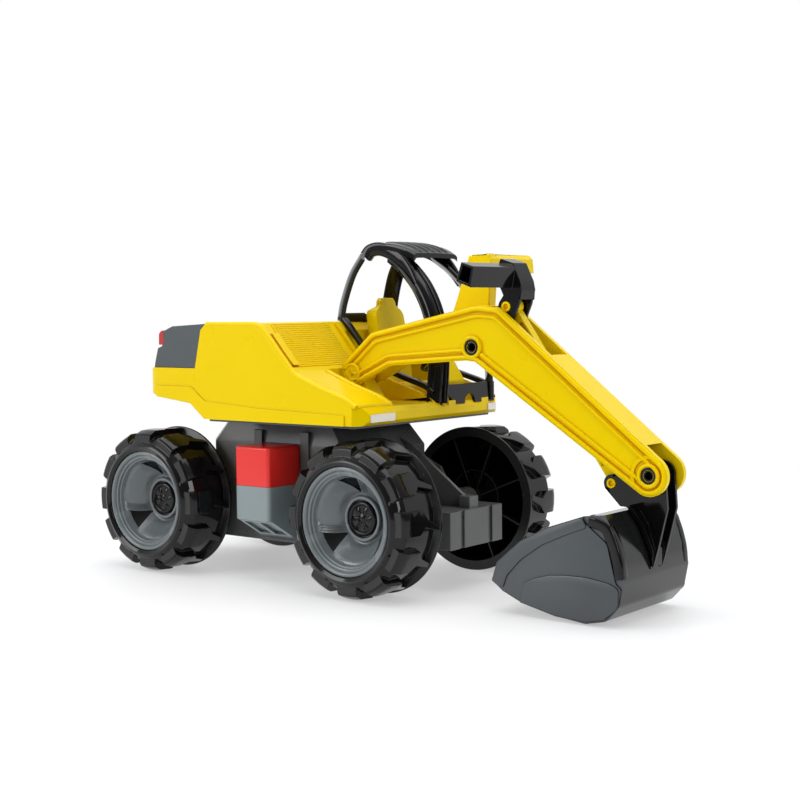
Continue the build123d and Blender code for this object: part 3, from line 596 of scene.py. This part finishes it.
# turned rings of (radius, height) inside and outside the dish
HUB_RINGS = [(14.0, DISH_FLOOR - 5.5), (14.0, DISH_FLOOR - 4.0), (16.8, DISH_FLOOR - 4.0),
             (17.2, DISH_FLOOR - 0.9), (17.8, DISH_FLOOR - 0.4), (19.6, DISH_FLOOR - 0.4),
             (20.3, DISH_FLOOR - 1.0), (20.9, DISH_FLOOR - 3.8)]
RIM_RINGS = [(39.6, RIM_TOP - 7.4), (40.2, RIM_TOP - 5.0), (41.8, RIM_TOP - 4.6), (42.2, RIM_TOP - 2.6),
             (42.8, RIM_TOP - 2.2), (44.4, RIM_TOP - 2.2), (44.9, RIM_TOP - 0.6), (45.6, RIM_TOP + 0.4),
             (46.8, RIM_TOP + 0.8), (48.0, RIM_TOP + 0.5), (48.8, RIM_TOP - 0.3), (48.9, RIM_TOP - 2.8),
             (44.4, RIM_TOP - 4.0)]
RIM_WALL = 1.1
CAP_PROFILE = [(15.6, -4.5), (15.8, -1.4), (15.2, -0.2), (14.0, 0.4), (12.8, 0.4), (12.0, -0.2), (11.6, -1.0),
               (10.4, -1.1), (9.0, -1.0), (7.4, -0.9), (6.0, -0.9), (4.6, -0.8), (3.6, -0.4), (2.6, 0.1),
               (1.2, 0.4)]


def wheel_point(end, side, radius, turn, height):
    """A point of a wheel: radius and angle about the axle, height outwards from the inner edge."""
    x = end * HALF_WHEELBASE + radius * math.cos(turn)
    return at(x, side * (WHEEL_INNER_Y + height), WHEEL_RADIUS + radius * math.sin(turn))


def closed_loft(bm, rings):
    """Faces between closed rings of points, one after another."""
    loops = [[bm.verts.new(p) for p in ring] for ring in rings]
    for first, second in zip(loops, loops[1:]):
        band_between(bm, first, second)
    return loops


def dish_height(radius):
    """Height of the dish between the hub ring and the rim's steps."""
    return DISH_FLOOR - 4.0 + 19.0 * share_between(radius, 22.0, 39.0) ** 1.35


def sector_marks(radius):
    """One sector of the dish at a radius, as (angle from the window's middle, height above the dish)."""
    window = math.radians(2.0 + 14.0 * share_between(radius, 25.0, 38.0))
    marks = [(-window + 2 * window * k / WINDOW_COLUMNS, -3.6) for k in range(WINDOW_COLUMNS + 1)]
    marks += [(window + place / radius, lift) for place, lift in zip(LINE_PLACES, LINE_HEIGHTS)]
    left = window + LINE_PLACES[-1] / radius
    right = math.radians(SECTOR_SPAN) - window - 0.6 / radius
    for k in range(1, SPOKE_COLUMNS + 1):
        share = k / (SPOKE_COLUMNS + 1)
        marks.append((left + (right - left) * share, 2.4 * math.sin(math.pi * share)))
    return marks + [(right, 0.0)]


def make_rim(name, end, side):
    """Rim with stepped rings, three broad spokes, and pockets with windows and raised lines between them."""
    middles = [math.radians(SECTOR_START + SECTOR_SPAN * sector) for sector in range(SECTORS)]
    rings = []
    for r in DISH_RADII:
        inside = share_between(r, 23.5, 26.5) * share_between(39.0 - r, 0.0, 2.0)
        rings.append([wheel_point(end, side, r, side * (middle + turn), dish_height(r) + lift * inside)
                      for middle in middles for turn, lift in sector_marks(r)])
    turns = [math.atan2(p.z / MM - WHEEL_RADIUS, (p.x - mid_x) / MM - end * HALF_WHEELBASE)
             for p in rings[-1]]
    inner = [[wheel_point(end, side, r, t, h) for t in turns] for r, h in HUB_RINGS]
    outer = [[wheel_point(end, side, r, t, h) for t in turns] for r, h in RIM_RINGS]
    bm = bmesh.new()
    loops = closed_loft(bm, inner + rings + outer)
    window_faces = []
    per_sector = len(turns) // SECTORS
    for row, r in enumerate(DISH_RADII, len(inner)):
        if not WINDOW_RADII[0] <= r < WINDOW_RADII[1]:
            continue
        for a in (sector * per_sector + k for sector in range(SECTORS) for k in range(WINDOW_COLUMNS)):
            corners = {loops[row][a], loops[row][a + 1], loops[row + 1][a], loops[row + 1][a + 1]}
            window_faces += [f for f in loops[row][a].link_faces if set(f.verts) == corners]
    bmesh.ops.delete(bm, geom=window_faces, context="FACES")
    bmesh.ops.recalc_face_normals(bm, faces=bm.faces)
    outward = Vector((0, side, 0))
    if sum(f.normal.dot(outward) * f.calc_area() for f in bm.faces) < 0:
        bmesh.ops.reverse_faces(bm, faces=bm.faces)
    obj = linked(name, bm)
    shade_smooth(obj, 38)
    wall = obj.modifiers.new("wall", "SOLIDIFY")
    wall.thickness = RIM_WALL * MM
    wall.offset = -1
    return obj


def make_hub_cap(name, end, side, count=96):
    """Cap with a rounded step and six shallow petals."""
    rings = []
    for r, h in CAP_PROFILE:
        fade = math.sin(math.pi * share_between(r, 3.6, 11.2))
        ring = []
        for k in range(count):
            turn = 2 * math.pi * k / count
            petal = max(0.0, math.cos(6 * turn)) ** 0.5 if 3.8 < r < 11.0 else 0.0
            ring.append(wheel_point(end, side, r, turn, DISH_FLOOR + h + 1.1 * petal * fade))
        rings.append(ring)
    bm = bmesh.new()
    loops = closed_loft(bm, rings)
    bm.faces.new(loops[-1])
    bm.faces.new(loops[0])
    bmesh.ops.recalc_face_normals(bm, faces=bm.faces)
    obj = linked(name, bm)
    shade_smooth(obj, 45)
    return obj


def make_wheel_faces():
    """A rim and a hub cap for each wheel."""
    for end_name, end in (("front", 1), ("rear", -1)):
        for side_name, side in (("right", -1), ("left", 1)):
            place = end_name + "_" + side_name
            rim = make_rim("rim_" + place + "_form", end, side)
            finish_piece(rim, "wheel_" + place, "rim_grey", ["rim_" + place])
            cap = make_hub_cap("hub_cap_" + place + "_form", end, side)
            finish_piece(cap, "wheel_" + place, "black_plastic", ["hub_cap_" + place])


# ------------------------------------------------------------------ seat
SEAT_MID_Y, SEAT_FLOOR = 54.0, 160.0
SEAT_FRONT_X, BACK_THICKNESS, HEADREST_THICKNESS, HEADREST_FROM = 56.0, 14.0, 7.0, 95.0
SEAT_LEAN = math.tan(math.radians(8))
# across from the middle and up from the floor
BACK_OUTLINE = [(-21, 4), (25, 4), (25, 70), (22.5, 90), (19.5, 94), (12.6, 98), (11.4, 103), (8.6, 106),
                (-8.6, 106), (-11.4, 103), (-12.6, 98), (-18.5, 94), (-21, 90)]
CUSHION = [(46, 160.5), (80, 160.5), (83, 165), (83, 180), (80, 184), (46, 182)]
CUSHION_HALF_Y = 25.0


def back_point(across, up, thick):
    """A point of the seat's back: thick is 0 on its front and 1 on its rear."""
    depth = BACK_THICKNESS if up < HEADREST_FROM else HEADREST_THICKNESS
    return at(SEAT_FRONT_X - thick * depth - up * SEAT_LEAN, SEAT_MID_Y + across, SEAT_FLOOR + up)


def make_seat():
    """Seat: a thick leaning back with sloping shoulders and a thinner headrest, and a cushion."""
    bm = bmesh.new()
    solid_between(bm, *([bm.verts.new(back_point(across, up, thick)) for across, up in BACK_OUTLINE]
                        for thick in (0.0, 1.0)))
    prism(bm, CUSHION, SEAT_MID_Y - CUSHION_HALF_Y, SEAT_MID_Y + CUSHION_HALF_Y)
    piece("driver_seat_form", bm, "upper", "yellow_plastic", ["driver_seat"], 1.6, 3, 22)


# ------------------------------------------------------------------ boom
BOOM_Y, BOOM_SKIN = -26.0, 15.0          # its middle plane, and how far its side faces are from it
BOOM_PIVOT, LEVER_PIVOT, BUCKET_PIVOT = (74.5, 195.9), (210.7, 221.1), (383.9, 118.9)
TIP_RADIUS = 16.8
BORDER_IN, SECOND_IN = 2.8, 9.0          # how far the two raised lines are drawn in from the outline
# closed profiles of (radius, height above the boom's side)
PIVOT_RING = [(10.4, ROOT), (10.2, 2.4), (9.5, 3.2), (8.0, 3.2), (7.3, 2.4), (7.1, ROOT)]
FOOT_RING = [(9.8, ROOT), (9.6, 2.2), (8.9, 3.0), (7.6, 3.0), (6.9, 2.2), (6.7, ROOT)]
BOOM_RINGS = [(LEVER_PIVOT, PIVOT_RING), (BUCKET_PIVOT, PIVOT_RING), (BOOM_PIVOT, FOOT_RING)]
BUSH = [(7.2, ROOT), (7.1, 2.2), (6.6, 2.4), (4.9, 2.1), (4.6, 1.4), (4.6, ROOT)]
RING_CLEARANCE = 9.6                     # the second line stops this far from the lever's pivot


def boom_corners():
    """Side outline of the boom, with the round tip as a run of points."""
    x, z = BUCKET_PIVOT
    tip = [(x + TIP_RADIUS * math.cos(math.radians(a)), z + TIP_RADIUS * math.sin(math.radians(a)))
           for a in range(51, -124, -12)]
    return [(61.5, 202.9), (98, 233.5), (215, 257.5), (239, 255.5)] + tip + [
        (214, 208.5), (203, 209.5), (119, 203.5), (83.5, 186.9), (70.5, 185.9)]


def make_boom_lines():
    """Raised border, second line and ring bosses on both sides of the boom, and the bushes in two rings."""
    border = eased(inset(boom_corners(), BORDER_IN), 4)
    second, closed = clear_of(eased(inset(boom_corners(), SECOND_IN), 4), LEVER_PIVOT, RING_CLEARANCE)
    for name, way in (("right", -1), ("left", 1)):
        skin = BOOM_Y + way * BOOM_SKIN
        bm = bmesh.new()
        ridge(bm, border, skin, way, 2.3, 3.0)
        ridge(bm, second, skin, way, 1.8, 2.5, closed)
        for centre, profile in BOOM_RINGS:
            collar(bm, centre, skin, way, profile)
        piece("boom_lines_" + name, bm, "boom", "yellow_plastic", [], 0.0, 2, 50)
        # open black bushes at the lever's and the bucket's pivots, fixed in the boom
        for part, centre in (("lever", LEVER_PIVOT), ("bucket", BUCKET_PIVOT)):
            bm = bmesh.new()
            collar(bm, centre, skin, way, BUSH)
            piece(part + "_bush_" + name, bm, "boom", "black_plastic", [], 0.0, 2, 50)


# ------------------------------------------------------------------ bucket
BUCKET_SIDES = (("right", -81.0, -1), ("left", 29.0, 1))      # name, Y of the side's face, way outwards
SIDE_PLATE = [(259.5, 28), (264.5, 42), (288, 61), (312, 73.8), (346, 85), (357, 76.5), (368.5, 68),
              (376.5, 36), (381.5, 33), (378, 18.5), (366, 6.6), (348, 2.8), (320, 5.4), (286.5, 13),
              (269, 20)]
LIP_BAND = [(258.2, 27), (263.2, 42.8), (287, 62.6), (312, 75.4), (346, 87), (351, 79.5), (330.5, 71.5),
            (308, 61.5), (287.5, 47.5), (273.6, 32.8), (269.4, 21.3)]
LOWER_PANEL = [(287.2, 12.4), (289.8, 28.4), (301, 33.4), (316, 37.6), (333, 39), (350, 39.2), (372, 36.4),
               (379.6, 32.6), (378.6, 17.5), (366, 6.6), (348, 3.0), (320, 5.2)]
BUCKET_CORNER = [(352.0, 84.6), (359.5, 83.0), (366.5, 79.6), (370.2, 73.6), (374.0, 64.0), (377.2, 52.0),
                 (378.6, 40.0)]
CORNER_IN = 3.6                          # how far inside the side's face the corner's middle runs


def make_bucket_sides():
    """Satin side plates with a lip band and a lower panel, and rounded black upper corners."""
    for name, y, way in BUCKET_SIDES:
        bm = bmesh.new()
        for corners, height in ((SIDE_PLATE, 1.4), (LIP_BAND, 2.4), (LOWER_PANEL, 2.7)):
            raised_plate(bm, eased(corners, 3, 3), y, way, height, 0.9)
        piece("bucket_side_" + name, bm, "bucket", "bucket_grey", [], 0.0, 2, 42)
        bm = bmesh.new()
        run = spline([(x, y - way * CORNER_IN, z) for x, z in BUCKET_CORNER], 5)
        sweep(bm, run, (0, 1, 0), rounded(5.2, 5.0, 2.6, 4), lambda t: 1.0 - 0.1 * t * t)
        piece("bucket_corner_" + name, bm, "bucket", "black_plastic", [], 0.0, 2, 35)


# ------------------------------------------------------------------ body
BODY_EDGE = [(-51.5, 242.3), (16.6, 242.3), (38.2, 218.4), (58.2, 197.2), (91.3, 184.7), (121.0, 175.7),
             (132.0, 169.4)]             # XZ line of the right side's upper edge, from the cover to the nose
SIDE_LIP_Y, SLOT_LIP_Y = 105.2, -59.2    # the lips beside the outer sides, and beside the boom's slot
NOSE_LIP = [(131.5, -105.6, 169.8), (131.5, -92, 169.8), (131.5, -70, 169.8), (131.5, -58.2, 169.8)]
SLOPE = [(53.0, 198.6), (34.7, 217.6), (13.6, 242.7)]         # XZ line of the slope behind the boom, going up
SLOPE_LINE_YS, SLOPE_PITCH = (-85.0, -46.0, -8.0), 2.4
SLOPE_BORDER, SLOPE_BORDER_Y = [(14.5, 241.7), (34.7, 217.6), (50, 201.6)], -87.2


def make_body_lips():
    """Rounded lips along the body's upper edges, and fine lines across the slope behind the boom."""
    bm = bmesh.new()
    for y, corners in ((-SIDE_LIP_Y, BODY_EDGE), (SLOT_LIP_Y, BODY_EDGE[3:]), (SIDE_LIP_Y, BODY_EDGE[:2])):
        run = [Vector((x, y, z)) for x, z in eased(corners, 7, 5, False)]
        sweep(bm, run, (0, 1, 0), rounded(3.2, 2.4, 2.1, 4))
    sweep(bm, [Vector(p) for p in NOSE_LIP], (1, 0, 0.45), rounded(2.4, 1.6, 1.3, 4))
    low, bend, high = (Vector((x, 0, z)) for x, z in SLOPE)
    for start, end in ((bend, high), (low, bend)):
        count = int((end - start).length / SLOPE_PITCH)
        for k in range(count):
            point = start.lerp(end, (k + 0.5) / count)
            run = [Vector((point.x, y, point.z)) for y in SLOPE_LINE_YS]
            sweep(bm, run, (1, 0, 0), rounded(0.55, 0.55, 0.4, 2))
    run = [Vector((x, SLOPE_BORDER_Y, z)) for x, z in eased(SLOPE_BORDER, 3, 4, False)]
    sweep(bm, run, (0, 1, 0), rounded(0.9, 0.9, 0.7, 3))
    piece("body_lips", bm, "upper", "yellow_plastic", [], 0.0, 2, 50)


# ------------------------------------------------------------------ tail lights
LENS = [(-116.8, 222.6), (-116.4, 233.4), (-113.4, 236.2), (-109.5, 236.8), (-109.5, 222.6)]
LENS_YS = (64.0, 107.7)


def make_tail_lights():
    """Red lenses on the cover's rear step, reaching round to its sides."""
    for name, way in (("right", -1), ("left", 1)):
        bm = bmesh.new()
        prism(bm, LENS, *sorted(way * y for y in LENS_YS))
        piece("tail_light_" + name + "_form", bm, "upper", "light_red", ["tail_light_" + name], 0.8, 3, 25)


# ------------------------------------------------------------------ the toy
MADE_HERE = ("cab_frame", "driver_seat", "rim_", "hub_cap_", "tail_light")   # how replaced nodes' names start
# rounding in millimetres, by how a node's name starts; 0 where rounding would spoil the shading
WIDTHS = {"tyre": 0.55, "body_shell": 0.6, "engine_cover": 0.9, "chassis_frame": 0.6, "boom_half": 0.0,
          "boom_grip": 1.0, "lever": 0.6, "push_rod": 0.5, "bucket_scoop": 0.0, "bucket_bracket": 0.4,
          "step_cap": 0.5, "step_box": 0.6, "boom_post": 0.6, "steering_column": 0.8}
OTHER_WIDTH = 0.25
for node in sorted(frame["nodes"]):
    if not node.startswith(MADE_HERE):
        refined(node, next((w for start, w in WIDTHS.items() if node.startswith(start)), OTHER_WIDTH))
make_cab()
make_cab_roof()
make_wheel_faces()
make_seat()
make_boom_lines()
make_bucket_sides()
make_body_lips()
make_tail_lights()


# ------------------------------------------------------------------ stage, light, camera
FLOOR_RADIUS = 14.0
FADE_FROM, FADE_TO = 0.45, 1.5           # metres from its middle where it begins to turn plain white, and is
LEAST_GLOW = 0.42                        # share of plain white at its middle


def make_floor():
    """A large white floor that fades into the white surroundings."""
    bm = bmesh.new()
    bmesh.ops.create_circle(bm, cap_ends=True, segments=96, radius=FLOOR_RADIUS)
    floor = linked("floor", bm)
    floor.location = (0, 0, cad_low.z)
    mat = bpy.data.materials.new("floor")
    mat.use_nodes = True
    nodes, links = mat.node_tree.nodes, mat.node_tree.links
    shader = nodes["Principled BSDF"]
    shader.inputs["Base Color"].default_value = (0.90, 0.905, 0.92, 1)
    shader.inputs["Roughness"].default_value = 0.45
    place = nodes.new("ShaderNodeTexCoord")
    length = nodes.new("ShaderNodeVectorMath")
    length.operation = "LENGTH"
    links.new(place.outputs["Object"], length.inputs[0])
    share = nodes.new("ShaderNodeMapRange")
    share.interpolation_type = "SMOOTHSTEP"
    share.inputs["From Min"].default_value = FADE_FROM
    share.inputs["From Max"].default_value = FADE_TO
    share.inputs["To Min"].default_value = LEAST_GLOW
    links.new(length.outputs["Value"], share.inputs["Value"])
    glow = nodes.new("ShaderNodeEmission")
    mix = nodes.new("ShaderNodeMixShader")
    links.new(share.outputs["Result"], mix.inputs["Fac"])
    links.new(shader.outputs["BSDF"], mix.inputs[1])
    links.new(glow.outputs["Emission"], mix.inputs[2])
    links.new(mix.outputs["Shader"], nodes["Material Output"].inputs["Surface"])
    floor.data.materials.append(mat)


def make_light(name, place, target, size, energy):
    """A rectangular soft light of energy watts that faces target."""
    data = bpy.data.lights.new(name, "AREA")
    data.shape = "RECTANGLE"
    data.size, data.size_y = size
    data.energy = energy
    light = bpy.data.objects.new(name, data)
    light.location = place
    light.rotation_mode = "QUATERNION"
    light.rotation_quaternion = (Vector(target) - Vector(place)).to_track_quat("-Z", "Y")
    bpy.context.scene.collection.objects.link(light)


CAMERA_ANGLES = (38.16, 3.63, -0.62)     # degrees: from the toy's right side round to its front, up, roll
CAMERA_PLACE = (950.8 * MM + mid_x, -1.0861, 0.25675)
CAMERA_LENS = 65.9


def make_camera():
    """The photograph's viewpoint."""
    azimuth, elevation, roll = (math.radians(a) for a in CAMERA_ANGLES)
    back = Vector((math.sin(azimuth) * math.cos(elevation), -math.cos(azimuth) * math.cos(elevation),
                   math.sin(elevation)))
    right = Vector((math.cos(azimuth), math.sin(azimuth), 0))
    up = right.cross(-back)
    turned_right = right * math.cos(roll) + up * math.sin(roll)
    turned_up = up * math.cos(roll) - right * math.sin(roll)
    data = bpy.data.cameras.new("camera")
    data.sensor_width = 36.0
    data.lens = CAMERA_LENS
    data.clip_start, data.clip_end = 0.01, 100
    camera = bpy.data.objects.new("camera", data)
    matrix = Matrix((turned_right, turned_up, back)).transposed().to_4x4()
    matrix.translation = CAMERA_PLACE
    camera.matrix_world = matrix
    bpy.context.scene.collection.objects.link(camera)
    bpy.context.scene.camera = camera


WORLD_FRONT = (0.60, -0.77, -0.35)       # the way in which the surroundings are dimmest
WORLD_BRIGHT, WORLD_DIM = 0.85, 0.16


def make_world():
    """White behind the toy; for its light and reflections, bright behind and above and dim in front."""
    world = bpy.data.worlds.new("world")
    world.use_nodes = True
    nodes, links = world.node_tree.nodes, world.node_tree.links
    around = nodes["Background"]
    seen = nodes.new("ShaderNodeBackground")
    seen.inputs["Color"].default_value = (1, 1, 1, 1)
    seen.inputs["Strength"].default_value = 1.0
    place = nodes.new("ShaderNodeTexCoord")
    towards = nodes.new("ShaderNodeVectorMath")
    towards.operation = "DOT_PRODUCT"
    towards.inputs[1].default_value = WORLD_FRONT
    links.new(place.outputs["Generated"], towards.inputs[0])
    share = nodes.new("ShaderNodeMapRange")
    share.interpolation_type = "SMOOTHSTEP"
    share.inputs["From Min"].default_value = -0.5
    share.inputs["From Max"].default_value = 0.85
    share.inputs["To Min"].default_value = WORLD_BRIGHT
    share.inputs["To Max"].default_value = WORLD_DIM
    links.new(towards.outputs["Value"], share.inputs["Value"])
    links.new(share.outputs["Result"], around.inputs["Strength"])
    around.inputs["Color"].default_value = (0.98, 0.99, 1.0, 1)
    path = nodes.new("ShaderNodeLightPath")
    mix = nodes.new("ShaderNodeMixShader")
    links.new(path.outputs["Is Camera Ray"], mix.inputs["Fac"])
    links.new(around.outputs["Background"], mix.inputs[1])
    links.new(seen.outputs["Background"], mix.inputs[2])
    links.new(mix.outputs["Shader"], nodes["World Output"].inputs["Surface"])
    bpy.context.scene.world = world


make_floor()
make_light("overhead", (0.0, 0.1, 1.9), (0.05, 0, 0), (2.2, 1.6), 26)
make_light("left", (-1.3, -2.0, 1.15), (0, 0, 0.15), (1.2, 1.2), 24)
make_light("right", (2.1, -0.9, 1.1), (0.1, 0, 0.12), (0.5, 1.2), 12)
make_camera()
make_world()
bpy.context.scene.view_settings.view_transform = "Standard"
